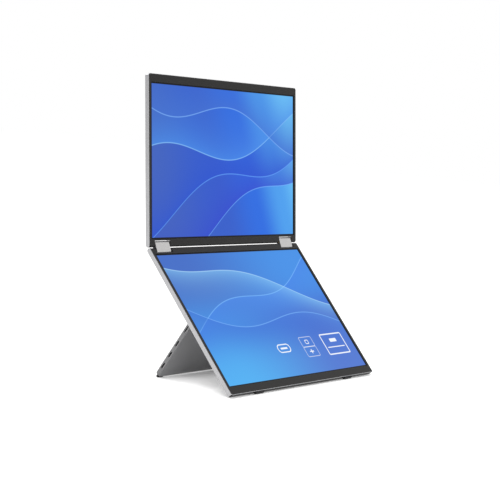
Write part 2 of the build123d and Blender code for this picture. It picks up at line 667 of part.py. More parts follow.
def make_hinge_plates(side, name):
    """Two end plates and a middle plate: they carry the shafts and, on the inner pair, the idlers."""
    outside = AXIS_SPACING + 2 * (BLOCK_OVERHANG - BLOCK_WALL - HELD_FIT)
    inner = BLOCK_INNER + PLATE_RECESS
    plates_at = ((inner, inner + END_PLATE, True),
                 (MIDDLE_PLATE_START, MIDDLE_PLATE_START + MIDDLE_PLATE, True),
                 (BLOCK_OUTER - PLATE_RECESS - END_PLATE, BLOCK_OUTER - PLATE_RECESS, False))
    with BuildPart() as plates:
        for near, far, has_idlers in plates_at:
            plane, length = stretch(block, side, near, far)
            with BuildSketch(plane):
                SlotOverall(outside, THICKNESS - 2 * (BLOCK_WALL + HELD_FIT))
                with Locations((-AXIS_SPACING / 2, 0), (AXIS_SPACING / 2, 0)):
                    bore(SHAFT_RADIUS + RUNNING_FIT, Mode.SUBTRACT)
                if has_idlers:
                    with Locations((-PITCH_RADIUS, 0), (PITCH_RADIUS, 0)):
                        bore(JOURNAL_RADIUS + RUNNING_FIT, Mode.SUBTRACT)
            extrude(amount=length)
    save(plates, name)


def make_disc_springs(side, name):
    """Disc springs on both shafts of a hinge, stacked cup to cup against the middle plate."""
    bore = SHAFT_RADIUS + RUNNING_FIT
    rim = THICKNESS / 2 - BLOCK_WALL - RUNNING_FIT
    start = MIDDLE_PLATE_START + MIDDLE_PLATE
    step = DISC_THICKNESS + DISC_RISE
    with BuildPart() as springs:
        for row in (-1, 1):
            axle = block.from_local_coords(Vector(0, row * AXIS_SPACING / 2, 0))
            for disc in range(DISC_COUNT):
                low = start + disc * step
                lift_in, lift_out = (0, DISC_RISE) if disc % 2 else (DISC_RISE, 0)
                with BuildSketch(Plane(origin=axle, x_dir=(side, 0, 0), z_dir=(0, side * block.z_dir.Z,
                                                                             -side * block.z_dir.Y))):
                    with BuildLine():
                        Polyline((low + lift_in, bore), (low + lift_in + DISC_THICKNESS, bore),
                                 (low + lift_out + DISC_THICKNESS, rim), (low + lift_out, rim), close=True)
                    make_face()
                revolve(axis=Axis(axle, (1, 0, 0)))
    save(springs, name)


def make_lock_nuts(prefix, row, name):
    """Nuts that hold the disc springs on one display's two shafts."""
    stack = DISC_COUNT * (DISC_THICKNESS + DISC_RISE)
    start = MIDDLE_PLATE_START + MIDDLE_PLATE + stack + RUNNING_FIT
    with BuildPart() as nuts:
        for side in (-1, 1):
            plane, length = stretch(block, side, start, start + NUT_LENGTH)
            with BuildSketch(plane):
                with Locations((row * AXIS_SPACING / 2, 0)):
                    RegularPolygon(THICKNESS / 2 - BLOCK_WALL - RUNNING_FIT, 6)
                    bore(SHAFT_RADIUS + HELD_FIT, Mode.SUBTRACT)
            extrude(amount=length)
    save(nuts, f"{prefix}_{name}")


# ---- stand hinge
def make_stand_bracket(side, name):
    """Leaf inside the lower display, a neck through its back and a knuckle round the stand's pin."""
    near = STAND_HINGE_OFFSET - KNUCKLE_WIDTH / 2
    far = STAND_HINGE_OFFSET + KNUCKLE_WIDTH / 2
    with BuildPart() as bracket:
        with BuildSketch(lower.offset(INNER_BACK)):
            with Locations((side * STAND_HINGE_OFFSET, STAND_PIVOT)):
                Rectangle(KNUCKLE_WIDTH + 2 * STAND_LEAF_SIDE, 2 * STAND_LEAF_HALF)
        extrude(amount=LEAF_THICKNESS)
        plane, length = stretch(lower, side, near, far)
        with BuildSketch(plane):
            with Locations((STAND_PIVOT, PIVOT_DEPTH)):
                Circle(KNUCKLE_RADIUS)
            with Locations((STAND_PIVOT, (PIVOT_DEPTH + INNER_BACK) / 2)):
                Rectangle(2 * NECK_HALF, INNER_BACK - PIVOT_DEPTH)
        extrude(amount=length)
        with BuildSketch(plane):
            with Locations((STAND_PIVOT, PIVOT_DEPTH)):
                bore(STAND_PIN_RADIUS + RUNNING_FIT)
        extrude(amount=length, mode=Mode.SUBTRACT)
        with BuildSketch(lower.offset(INNER_BACK)):
            screw_holes(stand_leaf_screw_places(), SCREW_HOLE_CLEARANCE)
        extrude(amount=LEAF_THICKNESS, mode=Mode.SUBTRACT)
    save(bracket, name)


def make_stand_pin(side, name):
    tail = STAND_PIN_TAIL + KNUCKLE_SIDE_GAP + KNUCKLE_WIDTH / 2
    with BuildPart() as pin:
        plane, length = stretch(stand, side, STAND_HINGE_OFFSET - tail, STAND_HINGE_OFFSET + tail)
        with BuildSketch(plane):
            Circle(STAND_PIN_RADIUS)
        extrude(amount=length)
    save(pin, name)


# ---- stand
def stand_edge_space():
    """What is taken out of the stand's pivot edge: notches for the knuckles and bores for the pins."""
    half_notch = KNUCKLE_WIDTH / 2 + KNUCKLE_SIDE_GAP
    tail = half_notch + STAND_PIN_TAIL + RUNNING_FIT
    depth = KNUCKLE_RADIUS + KNUCKLE_SWING_GAP
    with BuildPart() as space:
        for middle in (-STAND_HINGE_OFFSET, STAND_HINGE_OFFSET):
            with BuildSketch(section(stand, middle - half_notch)):
                with Locations(((depth - STAND_THICKNESS) / 2, 0)):
                    Rectangle(depth + STAND_THICKNESS, 2 * STAND_THICKNESS)
            extrude(amount=2 * half_notch)
            with BuildSketch(section(stand, middle - tail)):
                bore(STAND_PIN_RADIUS + HELD_FIT)
            extrude(amount=2 * tail)
    return space.part


def usb_c_places():
    return [USB_C_FIRST + i * USB_C_PITCH for i in range(3)]


def key_places():
    """Name, length and place along the stand of each key."""
    return [("power_key", POWER_KEY_LENGTH, POWER_KEY_PLACE),
            ("menu_key_up", MENU_KEY_LENGTH, MENU_KEY_PLACE),
            ("menu_key_down", MENU_KEY_LENGTH, MENU_KEY_PLACE + MENU_KEY_PITCH)]


def cover_screw_places():
    """Three along the pivot edge, clear of the mini HDMI socket, and three along the lower end."""
    near = MAIN_BOARD_END - MINI_HDMI_DEPTH - 2 * POST_WIDTH
    far = STAND_INSIDE - STAND_CORNER - POST_WIDTH / 2
    first = [(x, STAND_NOSE + POST_WIDTH) for x in (-near, 0, near)]
    return first + [(x, STAND_LENGTH - STAND_SIDE_WALL - POST_WIDTH) for x in (-far, 0, far)]


def main_board_screw_places():
    """Two at the inner end of the main board, and two between its sockets and its chips."""
    inner = MAIN_BOARD_START + SCREW_MARGIN + POST_WIDTH
    outer = MAIN_BOARD_END - USB_C_DEPTH - 2 * POST_WIDTH
    low = STAND_NOSE + 2 * POST_WIDTH
    high = STAND_LENGTH - STAND_SIDE_WALL - 2 * POST_WIDTH
    return [(inner, low), (inner, high), (outer, low + POST_WIDTH), (outer, high)]


def key_board_screw_places():
    across = KEY_BOARD_END - SCREW_MARGIN
    return [(across, KEY_BOARD_LOW + SCREW_MARGIN), (across, KEY_BOARD_HIGH - SCREW_MARGIN)]


def board_screw_places():
    return main_board_screw_places() + key_board_screw_places()


def socket_outline_usb(extra):
    SlotOverall(USB_C_WIDTH + 2 * extra, USB_C_HEIGHT + 2 * extra)


def socket_outline_hdmi(extra):
    """Inside an open sketch: long flat slot with two bevelled corners."""
    half_width = MINI_HDMI_WIDTH / 2 + extra
    half_height = MINI_HDMI_HEIGHT / 2 + extra
    bevel = MINI_HDMI_BEVEL
    Polygon((-half_width, half_height), (half_width, half_height), (half_width, -half_height + bevel),
            (half_width - bevel, -half_height), (-half_width + bevel, -half_height),
            (-half_width, -half_height + bevel), align=None)


def make_stand_housing():
    shell = back_shell(stand, STAND_WIDTH, STAND_LENGTH, STAND_HALF, STAND_COVER, STAND_SEAM, STAND_CORNER)
    edge = STAND_WIDTH / 2
    with BuildPart() as housing:
        add(shell.part)
        with BuildSketch(stand.offset(STAND_INNER_BACK)):
            with Locations((0, (STAND_NOSE + STAND_LENGTH - STAND_SIDE_WALL) / 2)):
                RectangleRounded(STAND_WIDTH - 2 * STAND_SIDE_WALL,
                                 STAND_LENGTH - STAND_SIDE_WALL - STAND_NOSE, STAND_CORNER - STAND_SIDE_WALL)
        extrude(amount=STAND_THICKNESS, mode=Mode.SUBTRACT)
        add(stand_edge_space(), mode=Mode.SUBTRACT)
        # openings for the sockets in one side and the keys in the other
        with BuildSketch(section(stand, edge)):
            with Locations(*[(place, 0) for place in usb_c_places()]):
                socket_outline_usb(SOCKET_GAP)
            with Locations((MINI_HDMI_PLACE, 0)):
                socket_outline_hdmi(SOCKET_GAP)
        extrude(amount=-2 * STAND_SIDE_WALL, mode=Mode.SUBTRACT)
        with BuildSketch(section(stand, -edge)):
            for _, length, place in key_places():
                with Locations((place, 0)):
                    SlotOverall(length + 2 * KEY_GAP, KEY_HEIGHT + 2 * KEY_GAP)
        extrude(amount=2 * STAND_SIDE_WALL, mode=Mode.SUBTRACT)
        # posts for the cover screws, and pads under the boards
        with BuildSketch(stand.offset(STAND_INNER_BACK)):
            with Locations(*cover_screw_places()):
                Rectangle(POST_WIDTH, POST_WIDTH)
        extrude(amount=STAND_DEPTH)
        with BuildSketch(stand.offset(STAND_COVER_BACK)):
            screw_holes(cover_screw_places())
        extrude(amount=-STAND_DEPTH, mode=Mode.SUBTRACT)
        with BuildSketch(stand.offset(STAND_INNER_BACK)):
            with Locations(*board_screw_places()):
                Rectangle(PAD_WIDTH, PAD_WIDTH)
        extrude(amount=BOARD_LIFT)
        with BuildSketch(stand.offset(MAIN_BOARD_BACK)):
            screw_holes(board_screw_places())
        extrude(amount=-BOARD_LIFT - SCREW_DEPTH, mode=Mode.SUBTRACT)
        with BuildSketch(end_plane()):
            with Locations(*stand_foot_places()):
                Rectangle(STAND_FOOT_LENGTH, STAND_FOOT_WIDTH)
        extrude(amount=-FOOT_SINK, mode=Mode.SUBTRACT)
    save(housing, "stand_housing")


def make_stand_cover():
    shell = front_shell(stand, STAND_WIDTH, STAND_LENGTH, STAND_HALF, STAND_COVER, STAND_SEAM, STAND_CORNER)
    with BuildPart() as cover:
        add(shell.part)
        add(stand_edge_space(), mode=Mode.SUBTRACT)
        with BuildSketch(stand.offset(STAND_HALF)):
            with Locations(*cover_screw_places()):
                RegularPolygon(SCREW_HEAD_RADIUS + SCREW_HOLE_CLEARANCE, BORE_SIDES)
        extrude(amount=-SCREW_HEAD, mode=Mode.SUBTRACT)
        with BuildSketch(stand.offset(STAND_HALF)):
            screw_holes(cover_screw_places(), SCREW_HOLE_CLEARANCE)
        extrude(amount=-STAND_COVER, mode=Mode.SUBTRACT)
    save(cover, "stand_front_cover")


def make_main_board():
    """Board with cut-outs for the sockets, a shield can, chips and the key cable's connector."""
    low, high = STAND_NOSE + BOARD_END_GAP, STAND_LENGTH - STAND_SIDE_WALL - BOARD_END_GAP
    middle = ((MAIN_BOARD_START + MAIN_BOARD_END) / 2, (low + high) / 2)
    mouth = STAND_WIDTH / 2 - SOCKET_SET_BACK
    chip_row = SHIELD_WIDTH + CHIP_WIDTH
    with BuildPart() as board:
        with BuildSketch(stand.offset(MAIN_BOARD_BACK)):
            with Locations(middle):
                Rectangle(MAIN_BOARD_WIDTH, high - low)
            with Locations(*[(mouth, place) for place in usb_c_places()]):
                Rectangle(2 * (USB_C_DEPTH + SOCKET_GAP), USB_C_WIDTH + 2 * SOCKET_GAP, mode=Mode.SUBTRACT)
            with Locations((mouth, MINI_HDMI_PLACE)):
                Rectangle(2 * (MINI_HDMI_DEPTH + SOCKET_GAP), MINI_HDMI_WIDTH + 2 * SOCKET_GAP,
                          mode=Mode.SUBTRACT)
            with Locations(*[(x, y) for x, y in cover_screw_places() if x > MAIN_BOARD_START]):
                Rectangle(POST_WIDTH + 2 * SOCKET_GAP, POST_WIDTH + 2 * SOCKET_GAP, mode=Mode.SUBTRACT)
        extrude(amount=BOARD_THICKNESS)
        with BuildSketch(stand.offset(MAIN_BOARD_BACK)):
            screw_holes(main_board_screw_places(), SCREW_HOLE_CLEARANCE)
        extrude(amount=BOARD_THICKNESS, mode=Mode.SUBTRACT)
        with BuildSketch(stand.offset(MAIN_BOARD_TOP)):
            with Locations(middle):
                Rectangle(SHIELD_WIDTH, SHIELD_WIDTH)
        extrude(amount=SHIELD_HEIGHT)
        with BuildSketch(stand.offset(MAIN_BOARD_TOP)):
            with Locations(middle):
                with GridLocations(2 * chip_row / 1.5, chip_row / 1.5, 2, 2):
                    Rectangle(CHIP_WIDTH, CHIP_WIDTH)
        extrude(amount=CHIP_HEIGHT)
        with BuildSketch(stand.offset(MAIN_BOARD_BACK)):
            with Locations((MAIN_BOARD_START + KEY_CONNECTOR / 2, KEY_CABLE_PLACE)):
                Rectangle(KEY_CONNECTOR, CABLE_WIDTH)
        extrude(amount=CABLE_THICKNESS - BOARD_LIFT)
    save(board, "main_board")


def make_usb_c_socket(place, name):
    """Metal shell, open at the edge of the stand, with its tongue standing on the closed back."""
    mouth = STAND_WIDTH / 2 - SOCKET_SET_BACK
    with BuildPart() as socket:
        with BuildSketch(section(stand, mouth)):
            with Locations((place, 0)):
                socket_outline_usb(0)
        extrude(amount=-USB_C_DEPTH)
        with BuildSketch(stand.offset(MAIN_BOARD_TOP)):
            with Locations((mouth - USB_C_DEPTH / 2, place)):
                Rectangle(SOCKET_TAB_LENGTH, USB_C_WIDTH + 2 * SOCKET_TAB)
        extrude(amount=SOCKET_TAB_THICKNESS)
        with BuildSketch(section(stand, mouth)):
            with Locations((place, 0)):
                socket_outline_usb(-SOCKET_SHELL)
        extrude(amount=-(USB_C_DEPTH - 1.0), mode=Mode.SUBTRACT)
        with BuildSketch(section(stand, mouth - 1.0)):
            with Locations((place, 0)):
                Rectangle(TONGUE_WIDTH, TONGUE_THICKNESS)
        extrude(amount=-(USB_C_DEPTH - 1.5))
    save(socket, name)


def make_mini_hdmi_socket():
    mouth = STAND_WIDTH / 2 - SOCKET_SET_BACK
    with BuildPart() as socket:
        with BuildSketch(section(stand, mouth)):
            with Locations((MINI_HDMI_PLACE, 0)):
                socket_outline_hdmi(0)
        extrude(amount=-MINI_HDMI_DEPTH)
        with BuildSketch(stand.offset(MAIN_BOARD_TOP)):
            with Locations((mouth - MINI_HDMI_DEPTH / 2, MINI_HDMI_PLACE)):
                Rectangle(SOCKET_TAB_LENGTH, MINI_HDMI_WIDTH + 2 * SOCKET_TAB)
        extrude(amount=SOCKET_TAB_THICKNESS)
        with BuildSketch(section(stand, mouth)):
            with Locations((MINI_HDMI_PLACE, 0)):
                socket_outline_hdmi(-SOCKET_SHELL)
        extrude(amount=-(MINI_HDMI_DEPTH - 1.0), mode=Mode.SUBTRACT)
        with BuildSketch(section(stand, mouth - 1.2)):
            with Locations((MINI_HDMI_PLACE, 0.2)):
                Rectangle(MINI_HDMI_WIDTH - 2.6, TONGUE_THICKNESS)
        extrude(amount=-(MINI_HDMI_DEPTH - 1.7))
    save(socket, "mini_hdmi_socket")


def make_key(length, place, name):
    """Pill-shaped key that stands out of the edge, with a flange behind the wall and a stem."""
    face = -STAND_WIDTH / 2 - KEY_PROUD
    inner = -STAND_WIDTH / 2 + STAND_SIDE_WALL
    with BuildPart() as key:
        with BuildSketch(section(stand, face)):
            with Locations((place, 0)):
                SlotOverall(length, KEY_HEIGHT)
        extrude(amount=inner - face)
        with BuildSketch(section(stand, inner)):
            with Locations((place, 0)):
                SlotOverall(length + 2 * KEY_FLANGE, KEY_HEIGHT + 2 * KEY_FLANGE)
        extrude(amount=KEY_FLANGE)
        with BuildSketch(section(stand, inner + KEY_FLANGE)):
            with Locations((place, 0)):
                Rectangle(KEY_STEM_WIDTH, KEY_STEM_WIDTH)
        extrude(amount=KEY_STEM)
    save(key, name)


def make_key_board():
    """Narrow board behind the keys, with a side-acting switch for each."""
    middle = (KEY_BOARD_LOW + KEY_BOARD_HIGH) / 2
    with BuildPart() as board:
        with BuildSketch(stand.offset(MAIN_BOARD_BACK)):
            with Locations((SWITCH_FACE + KEY_BOARD_DEPTH / 2, middle)):
                Rectangle(KEY_BOARD_DEPTH, KEY_BOARD_HIGH - KEY_BOARD_LOW)
        extrude(amount=BOARD_THICKNESS)
        with BuildSketch(stand.offset(MAIN_BOARD_BACK)):
            screw_holes(key_board_screw_places(), SCREW_HOLE_CLEARANCE)
        extrude(amount=BOARD_THICKNESS, mode=Mode.SUBTRACT)
        with BuildSketch(stand.offset(MAIN_BOARD_TOP)):
            with Locations(*[(SWITCH_FACE + SWITCH_DEPTH / 2, place) for _, _, place in key_places()]):
                Rectangle(SWITCH_DEPTH, SWITCH_WIDTH)
        extrude(amount=SWITCH_HEIGHT)
        with BuildSketch(stand.offset(MAIN_BOARD_BACK)):
            with Locations((KEY_BOARD_END - KEY_CONNECTOR / 2, KEY_CABLE_PLACE)):
                Rectangle(KEY_CONNECTOR, CABLE_WIDTH)
        extrude(amount=CABLE_THICKNESS - BOARD_LIFT)
    save(board, "key_board")


def make_key_cable():
    """Flat cable on the back wall between the connectors of the two boards."""
    start = KEY_BOARD_END - KEY_CONNECTOR
    end = MAIN_BOARD_START + KEY_CONNECTOR
    with BuildPart() as cable:
        with BuildSketch(stand.offset(STAND_INNER_BACK)):
            with Locations(((start + end) / 2, KEY_CABLE_PLACE)):
                Rectangle(end - start, CABLE_WIDTH)
        extrude(amount=CABLE_THICKNESS)
    save(cable, "key_cable")


# ---- rubber feet
def end_plane():
    """The stand's lower end, seen from below: local x across, local y out of the front."""
    return Plane(origin=stand.from_local_coords(Vector(0, STAND_LENGTH, 0)),
                 x_dir=stand.x_dir, z_dir=stand.y_dir)


def display_foot_places():
    depth = HALF - FOOT_EDGE_INSET - DISPLAY_FOOT_WIDTH / 2
    across = WIDTH / 2 - DISPLAY_FOOT_INSET
    return [(-across, depth), (across, depth)]


def stand_foot_places():
    depth = STAND_HALF - STAND_FOOT_INSET - STAND_FOOT_WIDTH / 2
    across = STAND_WIDTH / 2 - STAND_CORNER / 2 - STAND_FOOT_LENGTH / 2
    return [(-across, -depth), (across, -depth)]


def make_feet(plane, places, length, width, proud, name):
    """Rubber blocks pressed into an edge and cut flat where they meet the floor."""
    with BuildPart() as feet:
        with BuildSketch(plane.offset(-FOOT_SINK)):
            with Locations(*places):
                RectangleRounded(length - 2 * HELD_FIT, width - 2 * HELD_FIT, 0.8)
        extrude(amount=FOOT_SINK + proud)
        split(bisect_by=floor, keep=Keep.TOP)
    save(feet, name)


# ---- everything together
def make_display(frame, prefix, row, holds_stand):
    make_back_cover(frame, f"{prefix}_back_cover", holds_stand)
    make_bezel(frame, f"{prefix}_bezel")
    make_panel(frame, prefix)
    make_tapes(frame, f"{prefix}_panel_tapes")
    make_driver_board(frame, f"{prefix}_driver_board")
    make_signal_cable(frame, f"{prefix}_signal_cable")
    for side in (-1, 1):
        make_hinge_bracket(frame, side, f"{prefix}_hinge_bracket_{side_name(frame, side)}")
        make_hinge_shaft(side, row, f"{prefix}_hinge_shaft_{side_name(block, side)}")
    make_screws(frame, leaf_screw_places(), INNER_BACK + SEAT_HEIGHT + LEAF_THICKNESS,
                LEAF_THICKNESS + SEAT_HEIGHT + SCREW_DEPTH, f"{prefix}_bracket_screws")
    make_lock_nuts(prefix, row, "hinge_nuts")


def make_hinges():
    for side in (-1, 1):
        hand = side_name(block, side)
        make_hinge_cap(side, f"hinge_cap_{hand}")
        make_hinge_plates(side, f"hinge_plates_{hand}")
        make_disc_springs(side, f"disc_springs_{hand}")
    make_idlers(-1, "lower_idler_gears")
    make_idlers(1, "upper_idler_gears")


def make_stand():
    for side in (-1, 1):
        make_stand_bracket(side, f"stand_bracket_{side_name(lower, side)}")
        make_stand_pin(side, f"stand_pin_{side_name(stand, side)}")
    make_screws(lower, stand_leaf_screw_places(), INNER_BACK + LEAF_THICKNESS,
                LEAF_THICKNESS + SCREW_DEPTH, "stand_bracket_screws")
    make_stand_housing()
    make_stand_cover()
    make_main_board()
    for number, place in enumerate(usb_c_places(), start=1):
        make_usb_c_socket(place, f"usb_c_socket_{number}")
    make_mini_hdmi_socket()
    for name, length, place in key_places():
        make_key(length, place, name)
    make_key_board()
    make_key_cable()
    make_screws(stand, cover_screw_places(), STAND_HALF - SCREW_HEAD, STAND_DEPTH / 2,
                "stand_cover_screws")
    make_screws(stand, board_screw_places(), MAIN_BOARD_TOP, BOARD_THICKNESS + SCREW_DEPTH,
                "board_screws")
    far_edge = Plane(origin=lower.from_local_coords(Vector(0, LENGTH, 0)), x_dir=lower.x_dir,
                     z_dir=lower.y_dir)
    drop = (DISPLAY_FLOOR_GAP + FOOT_EDGE_INSET * sin(lean_low) + FOOT_FACET) / cos(lean_low)
    make_feet(far_edge, display_foot_places(), DISPLAY_FOOT_LENGTH, DISPLAY_FOOT_WIDTH, drop, "display_feet")
    drop = (STAND_FLOOR_GAP + STAND_FOOT_INSET * sin(lean_stand) + FOOT_FACET) / cos(lean_stand)
    make_feet(end_plane(), stand_foot_places(), STAND_FOOT_LENGTH, STAND_FOOT_WIDTH, drop, "stand_feet")


os.makedirs("parts", exist_ok=True)
make_display(lower, "lower", -1, holds_stand=True)
make_display(upper, "upper", 1, holds_stand=False)
make_hinges()
make_stand()
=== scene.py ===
import json
import math

import bpy
from mathutils import Matrix, Vector

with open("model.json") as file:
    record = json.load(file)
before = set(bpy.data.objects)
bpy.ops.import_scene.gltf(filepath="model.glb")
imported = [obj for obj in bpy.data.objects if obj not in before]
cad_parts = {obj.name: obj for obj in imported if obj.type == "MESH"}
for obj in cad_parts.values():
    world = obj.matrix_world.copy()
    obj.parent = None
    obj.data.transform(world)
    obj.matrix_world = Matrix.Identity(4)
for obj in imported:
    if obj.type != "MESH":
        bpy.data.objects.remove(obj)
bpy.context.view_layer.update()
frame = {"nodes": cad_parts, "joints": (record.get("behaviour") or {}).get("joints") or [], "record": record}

MM = 0.001


def srgb(red, green, blue):
    """A colour read off a screen, 0 to 255, as Blender's linear colour."""
    def linear(value):
        value /= 255
        return value / 12.92 if value <= 0.04045 else ((value + 0.055) / 1.055) ** 2.4
    return linear(red), linear(green), linear(blue), 1.0


# ---- the object at rest: leans in degrees, lengths in millimetres
LOWER_LEAN = 42.7
UPPER_LEAN = 6.6
STAND_LEAN = 32.0
PICTURE_WIDTH = 301.6
PICTURE_HEIGHT = 188.5
PICTURE_START = 8.9            # hinge axis to the near edge of the picture
PICTURE_CORNER = 0.1
DISPLAY_END = 209.4            # hinge axis to the far end face of a display
FRONT_CHAMFER = 2.8            # hinge axis to the start of the rim's chamfer, towards the front
PAINTED_SHADE_REACH = 0.9            # end face to where the painted shade stops: black that stands in for the dark floor contact the end face mirrors
TONGUE_HALF = 0.42             # half thickness of the tongue in a socket
SOCKET_DEPTH = 5.0             # mouth of a socket to its far wall

# ---- the camera: place in millimetres, angles in degrees, focal length in widths of a 500 pixel frame
CAMERA_PLACE = (-1603.2, -1144.2, 351.9)
CAMERA_YAW = 54.028
CAMERA_PITCH = 5.571
CAMERA_ROLL = 5.235
FOCAL_PIXELS = 1547.4
FRAME_PIXELS = 500
SENSOR = 36.0
NEAREST = 0.01                 # metres

# ---- finishes
WHITE = (1.0, 1.0, 1.0, 1.0)
BLACK = (0.0, 0.0, 0.0, 1.0)
SILVER = (0.40, 0.40, 0.41, 1.0)
SILVER_ROUGHNESS = 0.27
# edge colour: partly worn bare metal, partly a painted highlight along the edges
SILVER_WEAR_AND_HIGHLIGHT = (0.86, 0.86, 0.87, 1.0)
# painted shade: black on the lower display's end face, standing in for the dark contact shadow that the face
# mirrors
PAINTED_SHADE_BLACK = (0.012, 0.012, 0.012, 1.0)
SOCKET_PLASTIC = (0.012, 0.012, 0.013, 1.0)
PANEL_BLACK = (0.004, 0.004, 0.005, 1.0)
DULL = 0.1                     # Specular IOR Level of surfaces that mirror next to nothing

# the common finish: sizes in millimetres
CLOUD_SIZE = 18.0
CLOUD_SHARE = 0.6              # of the change in colour, the rest comes from the grain
GRAIN_ROUGHNESS = 0.12         # how far the grain changes the roughness
GRAIN_STRENGTH = 0.35          # how far the grain shows in the height
BLASTED_GRAIN = 0.35
BLASTED_DEPTH = 0.02
SCUFF_SIZE = 2.5
SCUFF_SPREAD = (0.42, 0.66, 0.25, 1.0)         # noise where scuffs start and are full, and how worn both are
EDGE_SHARPNESS = (0.999, 0.9)  # agreement of the normals on a flat face and on a sharp edge
TRACK_PITCH = 14
STRIPE_PITCH = 3.2

# blasted aluminium: colour, roughness, colour of the edges (worn, and with a painted highlight), and how much
# of it is bare metal
ALUMINIUM = {
    "shell_aluminium": (SILVER, SILVER_ROUGHNESS, SILVER_WEAR_AND_HIGHLIGHT, 1.0),
    "stand_aluminium": ((0.205, 0.205, 0.21, 1.0), 0.46, (0.30, 0.30, 0.31, 1.0), 0.4),
    # painted light: the stand's front cover is a lighter copy of the stand's finish, offsetting the shade it
    # sits in under the lower display
    "stand_plate_painted_light_aluminium": ((0.32, 0.32, 0.33, 1.0), 0.46, SILVER_WEAR_AND_HIGHLIGHT, 0.5),
    "cap_aluminium": ((0.56, 0.555, 0.55, 1.0), 0.34, SILVER_WEAR_AND_HIGHLIGHT, 1.0),
    "key_aluminium": ((0.26, 0.26, 0.265, 1.0), 0.4, (0.36, 0.36, 0.37, 1.0), 0.4),
}
# machined and stamped steel: colour and roughness
STEEL = {
    "stamped_steel": ((0.50, 0.50, 0.52, 1.0), 0.36),
    "ground_steel": ((0.58, 0.58, 0.59, 1.0), 0.22),
    "screw_steel": ((0.33, 0.33, 0.34, 1.0), 0.34),
    "blackened_steel": ((0.035, 0.035, 0.038, 1.0), 0.42),
}

# ---- pictures: lengths in millimetres
PICTURE_STRENGTH = 1.0
SHEET_EDGE = (-0.3, 0.7)       # heights over which a translucent sheet sets in at its edge
RIM_HALF = 1.1                 # half width of the lit rim along that edge
RIM_STRENGTH = 0.75
SOFTNESS = 0.2                 # half width over which the edge of a shape softens
EULER = 2.718
ICON_COLOUR = (0.92, 0.96, 1.0, 1.0)

UPPER_STOPS = ((0.0, srgb(62, 98, 186)), (0.38, srgb(44, 90, 200)), (0.62, srgb(32, 104, 222)),
               (0.8, srgb(70, 156, 236)), (1.0, srgb(112, 206, 250)))
UPPER_SWEEP = (1 / 330, 0.0012, 0.36)          # change across and along, and place of the middle
LOWER_LEFT_STOPS = ((0.0, srgb(60, 106, 196)), (0.5, srgb(62, 138, 222)), (1.0, srgb(78, 178, 242)))
LOWER_RIGHT_STOPS = ((0.0, srgb(58, 140, 228)), (0.55, srgb(54, 96, 198)), (1.0, srgb(76, 116, 206)))
LOWER_NEAR = 20                                # near edge of the picture to where its colours start to change
LOWER_SIDES = (-120, 110)                      # across, from all left colour to all right colour

# waves: (level, slope, height, length, phase), fill, line, strength of the fill, reach of the fill
UPPER_WAVES = (
    ((30, 0.42, 16, 260, 0.6), srgb(40, 66, 204), srgb(110, 172, 252), 0.75, 46),
    ((74, 0.34, 20, 300, 2.3), srgb(28, 78, 206), srgb(96, 160, 250), 0.7, 40),
    ((128, 0.20, 24, 340, 4.2), srgb(70, 144, 236), srgb(140, 202, 255), 0.65, 34),
    ((158, -0.16, 18, 280, 1.2), srgb(60, 108, 206), srgb(126, 180, 250), 0.6, 30))
LOWER_WAVES = (
    ((74, -0.30, 14, 270, 0.2), srgb(58, 128, 230), srgb(118, 186, 255), 0.7, 34),
    ((112, 0.16, 18, 330, 2.9), srgb(52, 112, 214), srgb(116, 178, 250), 0.6, 36),
    ((52, 0.24, 12, 300, 4.6), srgb(140, 206, 248), srgb(176, 224, 255), 0.5, 18))

# groups of marks: how bright the group is, then (box, half line width) with 0 for a filled mark
LOWER_ICONS = (
    (0.95, (((-5, 157, 13, 5.6, 5.4), 0.75), ((-5, 157, 7.2, 1.3, 0.6), 0))),
    (0.55, (((50, 152, 13.5, 7.4, 2.0), 0.5), ((50, 166.5, 13.5, 7.4, 2.0), 0.5))),
    (0.85, (((50, 152, 3.2, 2.6, 1.0), 0.6), ((50, 166.5, 4.4, 0.9, 0.5), 0),
            ((50, 166.5, 0.9, 3.2, 0.5), 0))),
    (0.95, (((109.6, 159.6, 24.2, 15.2, 1.6), 0.9), ((109.6, 154, 7.6, 2.6, 0.8), 0),
            ((109.6, 164.3, 19.6, 0.7, 0.4), 0))),
)

# ---- studio: lengths in metres
ROOM_TINT = (1.0, 0.995, 0.985, 1.0)
ROOM_SPAN = (-0.2, 0.9)        # upward parts of the directions between which the room brightens
ROOM_LOW = 0.42
ROOM_HIGH = 0.85
FLOOR_HALF = 6.0
FLOOR_PALE = ((0.79, 0.79, 0.79, 1.0), (0.81, 0.81, 0.81, 1.0))
FLOOR_GRAIN = 60.0             # millimetres
FLOOR_SHADE = (0.40, 0.40, 0.40, 1.0)          # what the floor throws back at the object
FLOOR_ROUGHNESS = 0.9
FLOOR_LIFT = 0.4               # light of its own that lifts the pale floor to white
FLOOR_REACH = 0.03             # how far above it a thing still dims that lift, as a painted contact shadow
FLOOR_CONTRAST = 0.8           # how strongly the painted contact shadow darkens
LAMP_TARGET = (0, 0, 0.15)
# lamps: name, place, size, power in watts, and whether metal mirrors them
LAMPS = (("key", (-2.2, -1.2, 2.4), 1.8, 60, False),
         ("fill", (1.8, -2.4, 1.6), 2.0, 22, False),
         ("rear", (-0.6, 2.4, 1.9), 1.8, 30, True))


# ---- places on the object
class Place:
    """A piece's own frame: across is +X, along runs away from its hinge, out is away from its back."""

    def __init__(self, joint, along, out):
        self.origin = Vector(JOINTS[joint])
        self.along = Vector(along)
        self.out = Vector(out)


def leaning(lean, up):
    """Directions along and out of a display that leans back by an angle, running up or down."""
    sine, cosine = math.sin(math.radians(lean)), math.cos(math.radians(lean))
    return (0, up * sine, up * cosine), (0, -cosine, sine)


JOINTS = {joint["name"]: joint["pos_m"] for joint in frame["joints"] if "pos_m" in joint}
MOUNTS = {mount["name"]: Vector(mount["pos_m"]) for mount in frame["record"]["mounts"]}
LOWER = Place("block_fold", *leaning(LOWER_LEAN, -1))
UPPER = Place("upper_fold", *leaning(UPPER_LEAN, 1))
STAND = Place("stand_fold", *leaning(-STAND_LEAN, -1))


